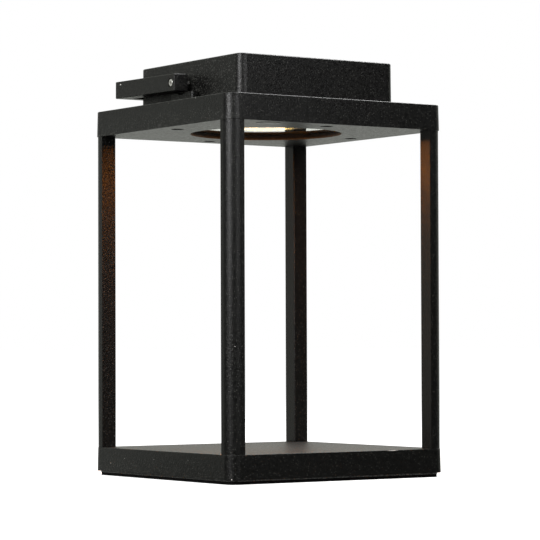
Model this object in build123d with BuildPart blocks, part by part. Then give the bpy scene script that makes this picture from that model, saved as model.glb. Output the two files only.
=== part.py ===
"""Battery lantern with a folding handle, millimetres, +Z up.

The origin is the centre of the footprint, on the surface that the lantern stands on.
"""

import os
from math import cos, radians, sin, tan

from build123d import *

# Castings: base and collar have the same square outline, wider at the lower edge
frame_half = 90.1  # half width at the lower edge
corner_radius = 8.0  # vertical corners
draft = 1.4  # degrees that the sides lean in towards the top
wall = 2.6
edge_rounding = 0.3  # long edges
rim_rounding = 0.6  # upper rim of the collar
corner_block = 15.0  # solid corners that take the post screws

# Base, from the ground up
mat_half = 87.6
mat_radius = 6.5
mat_thickness = 2.1
cover_half = 87.9
cover_radius = 6.8
cover_thickness = 1.0
cover_screw_offset = 76.0
cover_boss_radius = 4.2
cover_screw_reach = 7.9
base_high = 19.9
base_skin = 2.5
base_screw_face = 13.0  # the heads of the lower post screws pull against this

# Posts
post_width = 11.6
post_outer = 89.7  # distance of a post's outer faces from the middle
post_round = 8.2  # outer corner
post_ease = 0.9  # corner on the inside of the lantern
post_axis = 82.0  # line of the screws in a post's ends
post_thread = 18.0  # depth of the tapped holes
post_thread_spare = 3.0  # tapped depth past the screws' tips

# Collar
collar_low = 243.4
collar_high = 261.4
floor_thickness = 1.6
opening_radius = 54.0
collar_screw_face = 251.0  # the heads of the upper post screws pull against this
ledge_high = 258.2  # the ledge carries the top housing's flange
ledge_width = 1.3
ledge_thickness = 2.0
recess_offset = 74.5  # screw recesses at the middle of each side
recess_radius = 4.5
recess_depth = 3.5
recess_boss_radius = 6.8
recess_boss_height = 5.0

# Top housing: flange, and the box that stands on it
flange_gap = 0.2
flange_gasket = 0.6
box_half = 65.5
box_high = 291.6
box_draft = 0.5
box_radius = 6.0
box_rounding = 1.0
box_wall = 2.4
box_skin = 2.5

# Handle
pivot_z = 275.8
fold_tilt = 0.65  # degrees that the folded handle rises towards the back
arm_outer = 80.4
arm_inner = 69.0
arm_height = 12.0
arm_front = 5.2
crossbar_inner = 67.4
crossbar_outer = 75.6
crossbar_corner = 2.0
bar_rounding = 0.5
sleeve_radius = 2.2
head_recess_depth = 2.2
head_recess_radius = 3.1
pivot_head_height = 1.9
pivot_reach = 6.5  # length of the pivot screw inside the box
pivot_boss_radius = 5.0
pivot_boss_length = 5.0
pivot_boss_root = 1.4  # the bosses start this deep in the wall
pivot_head_rounding = 0.7
pivot_slot = (3.2, 0.75, 1.1)  # length, width and depth of the cross recess
pivot_slot_turn = (0, 0.9, 0.42)  # direction that the recess points in
rest_outer = 71.3
rest_half = 14.0
rest_high = 269.5
rest_corner = 1.8
rest_rounding = 0.4
rest_thread = 6.0
rest_saddle = 8.4  # radius of the hollow that an arm's end turns in
rest_screw_x = 68.4
rest_screw_y = 9.6

# Light unit
gasket_thickness = 1.4
glass_thickness = 3.0
glass_radius = 59.0
clamp_height = 2.2
clamp_width = 4.0
pan_thickness = 2.0
pan_radius = 62.0
pan_ear_reach = 70.0  # distance of the pan's screws from the middle
pan_ear_width = 10.0
pan_boss_radius = 3.9
led_board_radius = 20.0
led_board_thickness = 1.5
led_ring_radius = 13.9
led_count = 12
led_width = 2.8
led_length = 3.5
led_height = 0.4
led_screw_x = 6.5
lead_hole_y = -11.5
lead_hole_radius = 2.8

# Driver board
driver_width = 56.0
driver_depth = 36.0
driver_thickness = 1.6
driver_centre_y = 12.0
driver_screw_x = 24.0
driver_screw_y = 14.0
driver_pillar_height = 3.0
driver_pillar_radius = 3.0
driver_screw_end = 1.0  # tip of these screws above the pan's lower face
connector_size = (7.0, 5.0)
connector_height = 3.6
connector_inset = 2.7  # from the board's edge to the connector's middle
connector_x = 14.0
coil_size = 10.0
coil_height = 3.2
coil_points = [(8.0, 13.0)]
chip_size = (6.0, 5.0)
chip_height = 1.4
chip_points = [(-7.0, 15.0), (-7.0, 7.0)]
capacitor_radius = 3.2
capacitor_height = 3.4
capacitor_points = [(-14.0, 20.0), (16.0, 4.0)]

# Battery
tray_half_x = 54.0
tray_half_y = 49.0
tray_low = 264.0
tray_thickness = 2.0
cradle_half_x = 36.6
cradle_half_y = 30.0
cradle_height = 10.0
tray_screw_x = 50.0
tray_screw_y = 45.0
tray_thread = 7.0
cell_radius = 9.2
cell_rounding = 0.8
cell_length = 65.0
cell_pitch = 19.2
strip_thickness = 0.3
strip_height = 7.0
strip_overhang = 4.0  # past the middle of the outer cells
pad_size = (60.0, 54.0)
cradle_wall = 2.0
tray_corner = 4.0
lead_notch_radius = 1.3

# Push button
button_x = -48.7
button_y = -74.6
button_radius = 5.2
button_play = 0.3
button_rounding = 0.5
button_shoulder = 0.8  # the collar above the lip reaches this far out
button_collar_low = 244.9
button_collar_high = 246.1
switch_flange_radius = 8.5
switch_flange_height = 0.3
switch_barrel_radius = 7.0
switch_high = 255.0
switch_lip_high = 244.6
contact_low = 250.0
contact_tab = (0.6, 2.4)
contact_tab_height = 1.4
contact_tab_spread = 2.5  # of each tab from the button's axis
switch_bore_radius = 6.3
switch_nut_radius = 9.0  # half of the width across flats
switch_nut_height = 2.6
dome_skin = 0.7
dome_crown = 2.4  # radius that rests on the button
dome_foot = 4.6  # radius where the cone meets its rim
dome_rim = 5.4

# Charging inlet, in the back of the collar
inlet_x = 40.0
inlet_z = 251.2
charge_board_low = 248.4
charge_board_thickness = 1.2
charge_board_size = (22.0, 15.0)
charge_board_y = 76.0
charge_pillar_radius = 2.4
charge_screw_x = 8.0
charge_screw_y = 71.5
socket_width = 9.0
socket_height = 3.2
socket_back_y = 79.0
socket_length = 7.3
socket_skin = 0.35
socket_back = 1.5  # closed part behind the mouth
tongue = (6.6, 0.7)
flap_width = 16.4
flap_low = 247.0
flap_high = 256.2
flap_thickness = 1.2
flap_inner_y = 88.3
flap_corner = 1.8
flap_plug = (8.6, 2.6, 1.2)  # width, height and depth of the plug that fills the socket's mouth
flap_pocket_y = 88.0  # floor of the pocket that the flap lies in
flap_pocket_low = 246.5
flap_pocket_high = 258.5
flap_pocket_width = 17.4
flap_pocket_cut = 3.0  # reaches past the collar's face
finger_dip = (3.2, 1.5)  # half sizes of the dip for a fingernail under the flap
anchor_width = 12.0
anchor_height = 1.6
anchor_gap = 0.5
inlet_pad_width = 24.0
inlet_pad_depth = 2.2
inlet_window = (10.6, 4.8, 1.6)  # width, height and corner radius

# Leads
lead_bend = 2.0  # radius of the bends
led_lead_radius = 0.6
led_lead_gap = 2.0
thin_lead_radius = 0.55
thin_lead_gap = 1.8
lead_rise = 1.9  # of the leads over the driver board
cell_lead_rise = 2.0  # over the cells' axes
switch_lead_side = 1.8  # of the leads from the button's axis
switch_lead_bends = [(-24.0, -34.0), (-14.0, -16.0)]
switch_lead_climb = 2.6
charge_lead_y = 70.0
charge_lead_bends = [(16.0, 44.0, 257.4), (14.0, 36.0)]
charge_lead_climb = 256.4

# Screws: radius of the shank, radius of the head, height of the head
m4 = (1.95, 4.0, 2.6)
m3 = (1.45, 2.75, 1.9)
m25 = (1.2, 2.25, 1.6)
thread_play = 0.05  # radial gap between a shank and the hole that holds it
through_play = 0.25  # radial gap of a through hole
head_play = 0.3  # radial gap round a sunk head
tip_gap = 0.5  # free depth past a screw's tip

# Levels and outlines that follow from the sizes above
base_low = mat_thickness + cover_thickness
floor_high = collar_low + floor_thickness
flange_low = ledge_high + flange_gasket
cavity_half = frame_half - wall
cavity_radius = corner_radius - wall
ledge_half = cavity_half - ledge_width
ledge_radius = cavity_radius - ledge_width
flange_half = cavity_half - flange_gap
flange_radius = cavity_radius - flange_gap
recess_boss_high = collar_low + recess_boss_height
ceiling = box_high - box_skin
glass_low = floor_high + gasket_thickness
glass_high = glass_low + glass_thickness
pan_low = glass_high + clamp_height
pan_high = pan_low + pan_thickness
led_board_low = pan_low - led_board_thickness
driver_low = pan_high + driver_pillar_height
driver_high = driver_low + driver_thickness
lead_z = driver_high + lead_rise  # leads enter the driver board's connectors at this height
tray_high = tray_low + tray_thickness
cell_z = tray_high + cell_radius
strip_x = cell_length / 2 + strip_thickness
switch_low = collar_low - switch_flange_height
button_low = switch_low  # flush with the flange
charge_board_high = charge_board_low + charge_board_thickness
sleeve_outer = arm_outer - head_recess_depth
bead_radius = flap_thickness / 2
bead_y = flap_inner_y + bead_radius
bead_z = flap_high - bead_radius


def mirrored(x, y):
    """The four points at plus and minus x and y."""
    return [(x, y), (-x, y), (-x, -y), (x, -y)]


def mid_sides(reach):
    """The four points on the X and Y axes at that distance."""
    return [(reach, 0), (0, reach), (-reach, 0), (0, -reach)]


cover_screw_points = mid_sides(cover_screw_offset)
recess_points = mid_sides(recess_offset)
post_screw_points = mirrored(post_axis, post_axis)
block_points = mirrored(frame_half - corner_block / 2, frame_half - corner_block / 2)
pan_screw_points = mirrored(pan_ear_reach * cos(radians(45)), pan_ear_reach * cos(radians(45)))
rest_screw_points = mirrored(rest_screw_x, rest_screw_y)
tray_screw_points = mirrored(tray_screw_x, tray_screw_y)
driver_screw_points = [(x, y + driver_centre_y) for x, y in mirrored(driver_screw_x, driver_screw_y)]
led_screw_points = [(-led_screw_x, 0), (led_screw_x, 0)]
charge_screw_points = [(inlet_x + side * charge_screw_x, charge_screw_y) for side in (-1, 1)]
button_point = [(button_x, button_y)]
inlet_plane = Plane(origin=(inlet_x, 0, inlet_z), x_dir=(-1, 0, 0), z_dir=(0, 1, 0))


def rounded_block(half, radius, low, high, taper=0.0, mode=Mode.ADD):
    """Upright block on a rounded square, in the part being built."""
    with BuildSketch(Plane.XY.offset(low)) as outline:
        RectangleRounded(2 * half, 2 * half, radius)
    extrude(outline.sketch, amount=high - low, taper=taper, mode=mode)


def disc(radius, low, high, points=((0, 0),), mode=Mode.ADD):
    """Upright cylinders at the given points, in the part being built."""
    with BuildSketch(Plane.XY.offset(low)) as outline:
        with Locations(*points):
            Circle(radius)
    extrude(outline.sketch, amount=high - low, mode=mode)


def ring(outer, inner, low, high):
    """Upright ring about the lantern's axis, in the part being built."""
    with BuildSketch(Plane.XY.offset(low)) as outline:
        Circle(outer)
        Circle(inner, mode=Mode.SUBTRACT)
    extrude(outline.sketch, amount=high - low)


def slab(size_x, size_y, low, high, points=((0, 0),)):
    """Upright rectangular blocks centred on the given points, in the part being built."""
    with BuildSketch(Plane.XY.offset(low)) as outline:
        with Locations(*points):
            Rectangle(size_x, size_y)
    extrude(outline.sketch, amount=high - low)


def pivot_disc(radius, start_x, end_x, mode=Mode.ADD):
    """Cylinder on the handle's pivot line, in the part being built."""
    with BuildSketch(Plane.YZ.offset(start_x)) as outline:
        with Locations((0, pivot_z)):
            Circle(radius)
    extrude(outline.sketch, amount=end_x - start_x, mode=mode)


def frame_ring(low, high):
    """Square frame as wide as the collar's ledge, in the part being built."""
    with BuildSketch(Plane.XY.offset(low)) as outline:
        RectangleRounded(2 * cavity_half, 2 * cavity_half, cavity_radius)
        RectangleRounded(2 * ledge_half, 2 * ledge_half, ledge_radius, mode=Mode.SUBTRACT)
    extrude(outline.sketch, amount=high - low)


def tray_hollow(low, high):
    """Cuts a casting's inside between its four solid corners."""
    with BuildSketch(Plane.XY.offset(low)) as outline:
        RectangleRounded(2 * cavity_half, 2 * cavity_half, cavity_radius)
        with Locations(*block_points):
            Rectangle(corner_block, corner_block, mode=Mode.SUBTRACT)
    extrude(outline.sketch, amount=high - low, mode=Mode.SUBTRACT)


def cross_slot(plane, points, length, width, depth):
    """Cuts a cross recess into screw heads; the plane faces out of the heads."""
    with BuildSketch(plane) as outline:
        with Locations(*points):
            Rectangle(length, width)
            Rectangle(width, length)
    extrude(outline.sketch, amount=-depth, mode=Mode.SUBTRACT)


def screws(size, points, head_face, tip):
    """Round-headed screws along Z: the heads stand on head_face, and the shanks end at tip."""
    shank, head, height = size
    up = head_face > tip
    head_end = head_face + height if up else head_face - height
    facing = (0, 0, 1) if up else (0, 0, -1)
    with BuildPart() as group:
        disc(shank, min(head_face, tip), max(head_face, tip), points)
        disc(head, min(head_face, head_end), max(head_face, head_end), points)
        crowns = group.edges().filter_by(GeomType.CIRCLE).group_by(Axis.Z)[-1 if up else 0]
        fillet(crowns, 0.3 * height)
        crown_plane = Plane(origin=(0, 0, head_end), x_dir=(1, 0, 0), z_dir=facing)
        sides = points if up else [(x, -y) for x, y in points]
        cross_slot(crown_plane, sides, 1.1 * head, 0.22 * head, 0.45 * height)
    return group


# Foot mat: one sheet under the whole base, with holes for the cover's screw heads
with BuildPart() as foot_mat:
    rounded_block(mat_half, mat_radius, 0, mat_thickness)
    disc(m3[1] + 2 * head_play, 0, mat_thickness, cover_screw_points, Mode.SUBTRACT)

# Bottom cover: sheet steel that closes the base
with BuildPart() as bottom_cover:
    rounded_block(cover_half, cover_radius, mat_thickness, base_low)
    disc(m3[0] + through_play, mat_thickness, base_low, cover_screw_points, Mode.SUBTRACT)

cover_screws = screws(m3, cover_screw_points, mat_thickness, base_low + cover_screw_reach)

# Base casting: closed on top, open below, with solid corners for the post screws
with BuildPart() as base_casting:
    rounded_block(frame_half, corner_radius, base_low, base_high, draft)
    fillet(base_casting.faces().sort_by(Axis.Z)[-1].edges(), edge_rounding)
    fillet(base_casting.faces().sort_by(Axis.Z)[0].edges(), edge_rounding)
    tray_hollow(base_low, base_high - base_skin)
    disc(cover_boss_radius, base_low, base_high - base_skin, cover_screw_points)
    cover_thread_high = base_low + cover_screw_reach + tip_gap
    disc(m3[0] + thread_play, base_low, cover_thread_high, cover_screw_points, Mode.SUBTRACT)
    disc(m4[1] + head_play, base_low, base_screw_face, post_screw_points, Mode.SUBTRACT)
    disc(m4[0] + through_play, base_screw_face, base_high, post_screw_points, Mode.SUBTRACT)

lower_screw_tip = base_high + post_thread - post_thread_spare
post_screws_lower = screws(m4, post_screw_points, base_screw_face, lower_screw_tip)


def post_at(quarter_turns):
    """One post. With no turn it stands at +X +Y, and each turn moves it on by 90 degrees."""
    angle = radians(90 * quarter_turns)
    foot = Plane(origin=(0, 0, base_high), x_dir=(cos(angle), sin(angle), 0), z_dir=(0, 0, 1))
    middle = post_outer - post_width / 2
    height = collar_low - base_high
    with BuildPart() as post:
        with BuildSketch(foot) as section:
            with Locations((middle, middle)):
                Rectangle(post_width, post_width)
            fillet(section.vertices().sort_by(lambda corner: corner.X + corner.Y)[-1], post_round)
            fillet(section.vertices().sort_by(lambda corner: corner.X + corner.Y)[0], post_ease)
        extrude(amount=height)
        for end in (foot, foot.offset(height - post_thread)):
            with BuildSketch(end):
                with Locations((post_axis, post_axis)):
                    Circle(m4[0] + thread_play)
            extrude(amount=post_thread, mode=Mode.SUBTRACT)
    return post


post_rear = post_at(0)
post_left = post_at(1)
post_front = post_at(2)
post_right = post_at(3)

# Collar frame: tray with the light opening, screw recesses and button hole in its floor,
# and a recessed window for the charging inlet in its back wall
with BuildPart() as collar_frame:
    rounded_block(frame_half, corner_radius, collar_low, collar_high, draft)
    fillet(collar_frame.faces().sort_by(Axis.Z)[-1].edges(), rim_rounding)
    fillet(collar_frame.faces().sort_by(Axis.Z)[0].edges(), edge_rounding)
    rounded_block(cavity_half, cavity_radius, collar_screw_face, collar_high, mode=Mode.SUBTRACT)
    tray_hollow(floor_high, collar_screw_face)
    frame_ring(ledge_high - ledge_thickness, ledge_high)
    with BuildSketch(inlet_plane.offset(cavity_half - inlet_pad_depth)):
        Rectangle(inlet_pad_width, 2 * (inlet_z - floor_high))
    extrude(amount=inlet_pad_depth + 0.2)
    disc(opening_radius, collar_low, floor_high, mode=Mode.SUBTRACT)
    disc(recess_boss_radius, floor_high, recess_boss_high, recess_points)
    disc(recess_radius, collar_low, collar_low + recess_depth, recess_points, Mode.SUBTRACT)
    disc(m4[0] + through_play, collar_low, recess_boss_high, recess_points, Mode.SUBTRACT)
    disc(pan_boss_radius, floor_high, pan_low, pan_screw_points)
    disc(m3[0] + thread_play, floor_high + tip_gap, pan_low, pan_screw_points, Mode.SUBTRACT)
    disc(m4[0] + through_play, collar_low, collar_screw_face, post_screw_points, Mode.SUBTRACT)
    disc(switch_barrel_radius + thread_play, collar_low, floor_high, button_point, Mode.SUBTRACT)
    disc(charge_pillar_radius, floor_high, charge_board_low, charge_screw_points)
    disc(m25[0] + thread_play, floor_high, charge_board_low, charge_screw_points, Mode.SUBTRACT)
    with BuildSketch(inlet_plane.offset(flap_pocket_y)):
        with Locations((0, (flap_pocket_low + flap_pocket_high) / 2 - inlet_z)):
            RectangleRounded(flap_pocket_width, flap_pocket_high - flap_pocket_low, 2.0)
    extrude(amount=flap_pocket_cut, mode=Mode.SUBTRACT)
    with BuildSketch(inlet_plane.offset(cavity_half - inlet_pad_depth)):
        RectangleRounded(*inlet_window)
    extrude(amount=2 * inlet_pad_depth, mode=Mode.SUBTRACT)
    with BuildSketch(inlet_plane.offset(flap_pocket_y)):
        with Locations((0, flap_low - inlet_z)):
            Ellipse(*finger_dip)
    extrude(amount=flap_pocket_cut, mode=Mode.SUBTRACT)

upper_screw_tip = collar_low - post_thread + post_thread_spare
post_screws_upper = screws(m4, post_screw_points, collar_screw_face, upper_screw_tip)

# Rubber ring and cover glass, resting on the floor around the opening
with BuildPart() as glass_gasket:
    ring(glass_radius, opening_radius + 0.4, floor_high, glass_low)

with BuildPart() as cover_glass:
    disc(glass_radius, glass_low, glass_high)
    chamfer(cover_glass.edges().filter_by(GeomType.CIRCLE), 0.3)

# Light pan: black cast disc that clamps the glass and carries the LED and driver boards
skirt_inner = glass_radius + 0.4
with BuildPart() as light_pan:
    disc(pan_radius, pan_low, pan_high)
    ring(pan_radius, skirt_inner, glass_low, pan_low)
    ring(pan_radius, glass_radius - clamp_width, glass_high, pan_low)
    with BuildSketch(Plane.XY.offset(pan_low)):
        for turn in (45, 135, 225, 315):
            with Locations(Location((0, 0, 0), (0, 0, turn))):
                with Locations((pan_ear_reach / 2, 0)):
                    SlotCenterToCenter(pan_ear_reach, pan_ear_width)
    extrude(amount=pan_thickness)
    disc(m3[0] + through_play, pan_low, pan_high, pan_screw_points, Mode.SUBTRACT)
    disc(driver_pillar_radius, pan_high, driver_low, driver_screw_points)
    driver_thread_low = pan_low + driver_screw_end - tip_gap
    disc(m25[0] + thread_play, driver_thread_low, driver_low, driver_screw_points, Mode.SUBTRACT)
    disc(m25[0] + thread_play, pan_low, pan_high, led_screw_points, Mode.SUBTRACT)
    disc(lead_hole_radius, pan_low, pan_high, [(0, lead_hole_y)], Mode.SUBTRACT)

light_pan_screws = screws(m3, pan_screw_points, pan_high, floor_high + 2 * tip_gap)

# LED board under the pan, with a ring of small emitters close behind the glass
with BuildPart() as led_board:
    disc(led_board_radius, led_board_low, pan_low)
    with Locations(Plane(origin=(0, 0, led_board_low), z_dir=(0, 0, -1))):
        with Locations(*led_screw_points):
            CounterSinkHole(m25[0] + 0.2, m25[1] + 0.1, depth=led_board_thickness, counter_sink_angle=90)

with BuildPart() as led_chips:
    with BuildSketch(Plane.XY.offset(led_board_low)):
        with PolarLocations(led_ring_radius, led_count):
            Rectangle(led_width, led_length)
    extrude(amount=-led_height)
    chamfer(led_chips.edges().group_by(Axis.Z)[0], 0.15)

with BuildPart() as led_board_screws:
    with Locations(*[(x, y, led_board_low) for x, y in led_screw_points]):
        Cone(m25[1], m25[0], m25[1] - m25[0], align=(Align.CENTER, Align.CENTER, Align.MIN))
    disc(m25[0], led_board_low, pan_high, led_screw_points)
    cross_slot(Plane.XY.offset(led_board_low), led_screw_points, m25[1], 0.22 * m25[1], -0.5)

# Gasket frame on the collar's ledge, under the housing's flange
with BuildPart() as housing_gasket:
    frame_ring(ledge_high, flange_low)

# Top housing: flange that drops into the collar, and the box over battery and driver
with BuildPart() as top_housing:
    rounded_block(flange_half, flange_radius, flange_low, collar_high)
    rounded_block(box_half, box_radius, collar_high, box_high, box_draft)
    fillet(top_housing.faces().sort_by(Axis.Z)[-1].edges(), box_rounding)
    rounded_block(box_half - box_wall, box_radius - box_wall, flange_low, ceiling, box_draft, Mode.SUBTRACT)
    disc(recess_radius, recess_boss_high, flange_low, recess_points)
    disc(m4[0] + thread_play, recess_boss_high, flange_low, recess_points, Mode.SUBTRACT)
    disc(m4[1], tray_high, ceiling, tray_screw_points)
    disc(m3[0] + thread_play, tray_high, tray_high + tray_thread, tray_screw_points, Mode.SUBTRACT)
    disc(m3[0] + through_play, flange_low, collar_high, rest_screw_points, Mode.SUBTRACT)
    for side in (-1, 1):
        boss_start = side * (box_half - pivot_boss_root)
        boss_end = side * (box_half - box_wall - pivot_boss_length)
        pivot_disc(pivot_boss_radius, boss_start, boss_end)
        pivot_disc(m3[0] + thread_play, side * box_half, boss_end - side, Mode.SUBTRACT)

housing_screws = screws(m4, recess_points, collar_low + recess_depth, flange_low - 1.8)

# Handle, folded back: a U of square bar whose arms turn on the sleeves
folded = Plane(
    origin=(0, 0, pivot_z),
    x_dir=(1, 0, 0),
    z_dir=(0, -sin(radians(fold_tilt)), cos(radians(fold_tilt))),
)
with BuildPart() as handle:
    with BuildSketch(folded.offset(-arm_height / 2)):
        with Locations((0, (crossbar_outer - arm_front) / 2)):
            Rectangle(2 * arm_outer, crossbar_outer + arm_front)
        with Locations((0, (crossbar_inner - arm_front) / 2)):
            Rectangle(2 * arm_inner, crossbar_inner + arm_front, mode=Mode.SUBTRACT)
    extrude(amount=arm_height)
    upright = Axis(folded.origin, folded.z_dir)
    fillet(handle.edges().filter_by(upright).group_by(Axis.Y)[-1], crossbar_corner)
    fillet(handle.edges().filter_by(upright).group_by(Axis.Y)[0], bar_rounding)
    fillet(handle.faces().sort_by(Axis.Z)[-1].edges(), bar_rounding)
    fillet(handle.faces().sort_by(Axis.Z)[0].edges(), bar_rounding)
    for side in (-1, 1):
        pivot_disc(sleeve_radius + thread_play, side * arm_outer, side * arm_inner, Mode.SUBTRACT)
        pivot_disc(head_recess_radius, side * arm_outer, side * sleeve_outer, Mode.SUBTRACT)

# Sleeves that space the arms off the drafted box, and the screws through them
sleeve_lowest = pivot_z - sleeve_radius
sleeve_inner = box_half - (sleeve_lowest - collar_high) * tan(radians(box_draft))
with BuildPart() as pivot_sleeves:
    for side in (-1, 1):
        pivot_disc(sleeve_radius, side * sleeve_outer, side * sleeve_inner)
        pivot_disc(m3[0] + 2 * thread_play, side * sleeve_outer, side * sleeve_inner, Mode.SUBTRACT)

with BuildPart() as pivot_screws:
    head_end = sleeve_outer + pivot_head_height
    for side in (-1, 1):
        pivot_disc(m3[1], side * sleeve_outer, side * head_end)
        pivot_disc(m3[0], side * sleeve_outer, side * (box_half - pivot_reach))
    rims = pivot_screws.edges().filter_by(GeomType.CIRCLE).group_by(Axis.X)
    fillet([*rims[0], *rims[-1]], pivot_head_rounding)
    for side in (-1, 1):
        crown_plane = Plane(origin=(side * head_end, 0, pivot_z), x_dir=pivot_slot_turn, z_dir=(side, 0, 0))
        cross_slot(crown_plane, [(0, 0)], *pivot_slot)


def handle_rest(side):
    """Block beside the box that a folded arm lies on, hollowed where the arm's end turns."""
    inner = box_half + thread_play
    middle = side * (rest_outer + inner) / 2
    with BuildPart() as rest:
        slab(rest_outer - inner, 2 * rest_half, collar_high, rest_high, [(middle, 0)])
        fillet(rest.edges().filter_by(Axis.Z), rest_corner)
        fillet(rest.faces().sort_by(Axis.Z)[-1].edges(), rest_rounding)
        pivot_disc(rest_saddle, side * inner, side * rest_outer, Mode.SUBTRACT)
        points = [point for point in rest_screw_points if point[0] * side > 0]
        disc(m3[0] + thread_play, collar_high, collar_high + rest_thread, points, Mode.SUBTRACT)
    return rest


handle_rest_left = handle_rest(-1)
handle_rest_right = handle_rest(1)
rest_screws = screws(m3, rest_screw_points, flange_low, collar_high + rest_thread - tip_gap)

# Battery tray, hung from the posts of the housing's ceiling, with walls around three cells
lead_x = strip_x + 0.7
with BuildPart() as battery_tray:
    with BuildSketch(Plane.XY.offset(tray_low)):
        RectangleRounded(2 * tray_half_x, 2 * tray_half_y, tray_corner)
    extrude(amount=tray_thickness)
    cradle_high = tray_high + cradle_height
    ends = [(-cradle_half_x, 0), (cradle_half_x, 0)]
    sides = [(0, -cradle_half_y), (0, cradle_half_y)]
    slab(cradle_wall, 2 * cradle_half_y, tray_high, cradle_high, ends)
    slab(2 * cradle_half_x + cradle_wall, cradle_wall, tray_high, cradle_high, sides)
    disc(m3[0] + through_play, tray_low, tray_high, tray_screw_points, Mode.SUBTRACT)
    lead_notches = [(-lead_x, driver_centre_y), (lead_x, driver_centre_y)]
    disc(lead_notch_radius, tray_low, tray_high, lead_notches, Mode.SUBTRACT)

tray_screws = screws(m3, tray_screw_points, tray_low, tray_high + tray_thread - tip_gap)

with BuildPart() as battery_cells:
    with BuildSketch(Plane.YZ.offset(-cell_length / 2)):
        with Locations((-cell_pitch, cell_z), (0, cell_z), (cell_pitch, cell_z)):
            Circle(cell_radius)
    extrude(amount=cell_length)
    fillet(battery_cells.edges().filter_by(GeomType.CIRCLE), cell_rounding)

with BuildPart() as cell_strips:
    for side in (-1, 1):
        with BuildSketch(Plane.YZ.offset(side * cell_length / 2)):
            with Locations((0, cell_z)):
                Rectangle(2 * (cell_pitch + strip_overhang), strip_height)
        extrude(amount=side * strip_thickness)

# Foam between the cells and the ceiling
with BuildPart() as battery_pad:
    slab(*pad_size, cell_z + cell_radius, ceiling)

# Driver board on the pan's pillars, with connectors, coil, chips and capacitors on top
with BuildPart() as driver_board:
    slab(driver_width, driver_depth, driver_low, driver_high, [(0, driver_centre_y)])
    disc(m25[0] + through_play, driver_low, driver_high, driver_screw_points, Mode.SUBTRACT)

with BuildPart() as driver_components:
    connector_high = driver_high + connector_height
    connector_y = driver_centre_y - driver_depth / 2 + connector_inset
    charge_connector_y = driver_centre_y + driver_depth / 2 - connector_inset
    battery_connector_x = driver_width / 2 - connector_inset
    cross_connectors = [(-connector_x, connector_y), (0, connector_y), (connector_x, charge_connector_y)]
    battery_connectors = [(-battery_connector_x, driver_centre_y), (battery_connector_x, driver_centre_y)]
    slab(*connector_size, driver_high, connector_high, cross_connectors)
    slab(*connector_size[::-1], driver_high, connector_high, battery_connectors)
    slab(coil_size, coil_size, driver_high, driver_high + coil_height, coil_points)
    slab(*chip_size, driver_high, driver_high + chip_height, chip_points)
    disc(capacitor_radius, driver_high, driver_high + capacitor_height, capacitor_points)

driver_screws = screws(m25, driver_screw_points, driver_high, pan_low + driver_screw_end)

# Charging socket on its own board, facing the window in the collar's back
with BuildPart() as charge_board:
    slab(*charge_board_size, charge_board_low, charge_board_high, [(inlet_x, charge_board_y)])
    disc(m25[0] + through_play, charge_board_low, charge_board_high, charge_screw_points, Mode.SUBTRACT)

with BuildPart() as charge_socket:
    socket_middle = charge_board_high + socket_height / 2 - inlet_z
    with BuildSketch(inlet_plane.offset(socket_back_y)):
        with Locations((0, socket_middle)):
            RectangleRounded(socket_width, socket_height, 1.3)
    extrude(amount=socket_length)
    with BuildSketch(inlet_plane.offset(socket_back_y + socket_back)):
        with Locations((0, socket_middle)):
            RectangleRounded(socket_width - 2 * socket_skin, socket_height - 2 * socket_skin, 1.1)
            Rectangle(*tongue, mode=Mode.SUBTRACT)
    extrude(amount=socket_length, mode=Mode.SUBTRACT)

charge_screws = screws(m25, charge_screw_points, charge_board_high, floor_high + tip_gap)

# Rubber flap over the inlet: its rounded upper edge is the line that it bends about
with BuildPart() as port_flap:
    with BuildSketch(inlet_plane.offset(flap_inner_y)):
        with Locations((0, (flap_low + bead_z) / 2 - inlet_z)):
            Rectangle(flap_width, bead_z - flap_low)
    extrude(amount=flap_thickness)
    fillet(port_flap.edges().filter_by(Axis.Y).group_by(Axis.Z)[0], flap_corner)
    with BuildSketch(Plane.YZ.offset(inlet_x - flap_width / 2)):
        with Locations((bead_y, bead_z)):
            Circle(bead_radius)
    extrude(amount=flap_width)
    with BuildSketch(inlet_plane.offset(flap_inner_y)):
        RectangleRounded(flap_plug[0], flap_plug[1], 1.0)
    extrude(amount=-flap_plug[2], taper=12)

# Fixed strip of the same moulding, glued into the pocket above the flap
with BuildPart() as flap_anchor:
    with BuildSketch(inlet_plane.offset(flap_pocket_y)):
        with Locations((0, flap_high + anchor_gap + anchor_height / 2 - inlet_z)):
            Rectangle(anchor_width, anchor_height)
    extrude(amount=flap_thickness)

# Push button: flanged body through the floor, ring nut, contact block, rubber dome, button
with BuildPart() as switch_body:
    disc(switch_flange_radius, switch_low, collar_low, button_point)
    fillet(switch_body.edges().filter_by(GeomType.CIRCLE).group_by(Axis.Z)[0], 0.5 * switch_flange_height)
    disc(switch_barrel_radius, collar_low, switch_high, button_point)
    disc(button_radius + button_play, switch_low, switch_lip_high, button_point, Mode.SUBTRACT)
    disc(switch_bore_radius, switch_lip_high, switch_high, button_point, Mode.SUBTRACT)

with BuildPart() as switch_nut:
    with BuildSketch(Plane.XY.offset(floor_high)):
        with Locations(*button_point):
            RegularPolygon(switch_nut_radius, 6, major_radius=False)
            Circle(switch_barrel_radius + thread_play, mode=Mode.SUBTRACT)
    extrude(amount=switch_nut_height)

with BuildPart() as switch_contacts:
    disc(switch_bore_radius - thread_play, contact_low, switch_high, button_point)
    tabs = [(button_x + side * contact_tab_spread, button_y) for side in (-1, 1)]
    slab(*contact_tab, switch_high, switch_high + contact_tab_height, tabs)

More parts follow.
